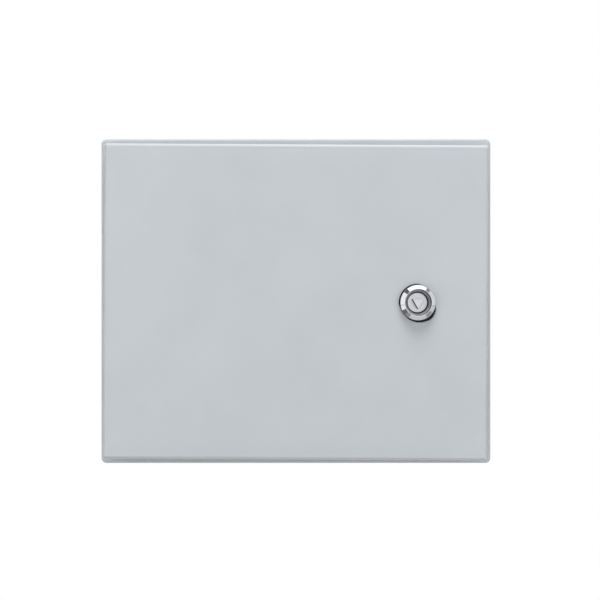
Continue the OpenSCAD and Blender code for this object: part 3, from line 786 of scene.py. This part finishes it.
def make_world():
    world = bpy.data.worlds.new("studio")
    bpy.context.scene.world = world
    world.use_nodes = True
    tree = world.node_tree
    tree.nodes.clear()
    white = node(tree, "ShaderNodeBackground", {"Color": (1, 1, 1, 1), "Strength": 1.0})
    soft = node(tree, "ShaderNodeBackground", {"Color": (0.97, 0.985, 1.0, 1), "Strength": 0.22})
    out = hold_to(SEEN, tree, white.outputs[0], soft.outputs[0])
    node(tree, "ShaderNodeOutputWorld", {"Surface": out})


def make_floor():
    """Pale floor well below the part, fading into the white background."""
    bm = bmesh.new()
    bmesh.ops.create_circle(bm, cap_ends=True, radius=FLOOR_R, segments=64)
    mesh = bpy.data.meshes.new("floor")
    bm.to_mesh(mesh)
    bm.free()
    floor = bpy.data.objects.new("floor", mesh)
    bpy.context.scene.collection.objects.link(floor)
    floor.location = (0, -0.1, FLOOR_Z)
    material, tree, shader = surface("floor_paint", Base_Color=(0.86, 0.86, 0.86, 1), Roughness=0.8)
    place = node(tree, "ShaderNodeTexCoord")
    shrunk = node(tree, "ShaderNodeMapping", {
        "Vector": place.outputs["Object"], "Scale": (1 / FLOOR_R,) * 3,
    })
    fade = node(tree, "ShaderNodeTexGradient", {
        "Vector": shrunk.outputs["Vector"],
    }, gradient_type="SPHERICAL").outputs["Fac"]
    amount = node(tree, "ShaderNodeMapRange", {"Value": fade, "From Max": 0.5}).outputs[0]
    white = node(tree, "ShaderNodeEmission", {"Color": (1, 1, 1, 1), "Strength": 1.0})
    faded = node(tree, "ShaderNodeMixShader", {
        0: amount, 1: white.outputs[0], 2: shader.outputs[0],
    })
    out = hold_to(SEEN, tree, faded.outputs[0], shader.outputs[0])
    tree.links.new(out, tree.nodes["Material Output"].inputs["Surface"])
    mesh.materials.append(material)


# What the lock's polished bevel mirrors, going round it anticlockwise from the right:
# the angle where each card ends, and its brightness as a display value
CARDS_START = -11
CARDS = [
    (45, 208), (60, 140), (129, 268), (144, 92), (187, 234), (190, 185), (206, 230),
    (222, 100), (238, 135), (300, 192), (325, 138), (346, 194), (349, 150),
]
CARD_REACH = 0.4
CARD_STEPS = 12
CARD_STRENGTH = 1.25
CARD_LOW_Y, CARD_HIGH_Y = -0.32, -0.08


def make_cards():
    """Ring of cards round the lock that only mirrors see."""
    start = CARDS_START
    for index, (end, shade) in enumerate(CARDS):
        # A card stands where the bevel at that angle looks, seen from the camera on its left
        low, high = (angle - CAMERA_SKEW * math.sin(math.radians(angle)) for angle in (start, end))
        bm = bmesh.new()
        points = arc(LOCK_AT.x, LOCK_AT.z, CARD_REACH, low, high, CARD_STEPS)
        front, back = (add_loop(bm, points, y) for y in (CARD_LOW_Y, CARD_HIGH_Y))
        for step in range(CARD_STEPS):
            bm.faces.new((front[step], front[step + 1], back[step + 1], back[step]))
        mesh = bpy.data.meshes.new("card")
        bm.to_mesh(mesh)
        bm.free()
        card = bpy.data.objects.new("card_%02d" % index, mesh)
        bpy.context.scene.collection.objects.link(card)
        card.visible_camera = card.visible_diffuse = card.visible_shadow = False
        card.visible_transmission = False
        material, tree = surface("card_%02d" % index)[:2]
        level = srgb(shade, shade, shade * 1.01)
        glow = node(tree, "ShaderNodeEmission", {"Color": level, "Strength": CARD_STRENGTH})
        tree.links.new(glow.outputs[0], tree.nodes["Material Output"].inputs["Surface"])
        mesh.materials.append(material)
        start = end


def soft_box(name, place, size, watts):
    """Soft light at place, aimed at the part. It isn't mirrored, so that metal shows the cards."""
    light = bpy.data.lights.new(name, "AREA")
    light.shape = "RECTANGLE"
    light.size, light.size_y = size
    light.energy = watts
    lamp = bpy.data.objects.new(name, light)
    bpy.context.scene.collection.objects.link(lamp)
    lamp.location = place
    lamp.rotation_mode = "QUATERNION"
    lamp.rotation_quaternion = (LAMPS_AIM - Vector(place)).to_track_quat("-Z", "Y")
    lamp.visible_camera = lamp.visible_glossy = False


def make_camera():
    data = bpy.data.cameras.new("camera")
    camera = bpy.data.objects.new("camera", data)
    bpy.context.scene.collection.objects.link(camera)
    data.sensor_width = SENSOR
    data.lens = SENSOR * CAMERA_DISTANCE / VIEW_WIDTH
    camera.location = (CAMERA_X, DOOR_LOW.y - CAMERA_DISTANCE, CAMERA_Z)
    camera.rotation_euler = (math.radians(90), 0, 0)
    bpy.context.scene.camera = camera


for row in frame["record"]["subparts"]:
    part = frame["nodes"][row["node"]]
    part.data.materials.clear()
    part.data.materials.append(FINISHES[row["material_slot"]])

make_body()
make_door()
make_lock_head()
make_lock_seal()
make_lock_insert()
make_door_seal()
make_studs()
for width, names in SOFT_EDGES:
    soften(names, width)
make_world()
make_floor()
make_cards()
soft_box("front", (-0.3, -1.6, 0.3), (1.2, 1.2), 0.5)
soft_box("top", (0, -0.95, 2.4), (1.6, 0.9), 72)
for side in (-1, 1):
    soft_box("side_%d" % side, (0.55 * side, -0.6, 0), (0.3, 0.9), 1.7)
soft_box("back", (0, 1.7, 0), (1.2, 1.2), 12)
make_camera()
bpy.context.scene.view_settings.view_transform = "Standard"
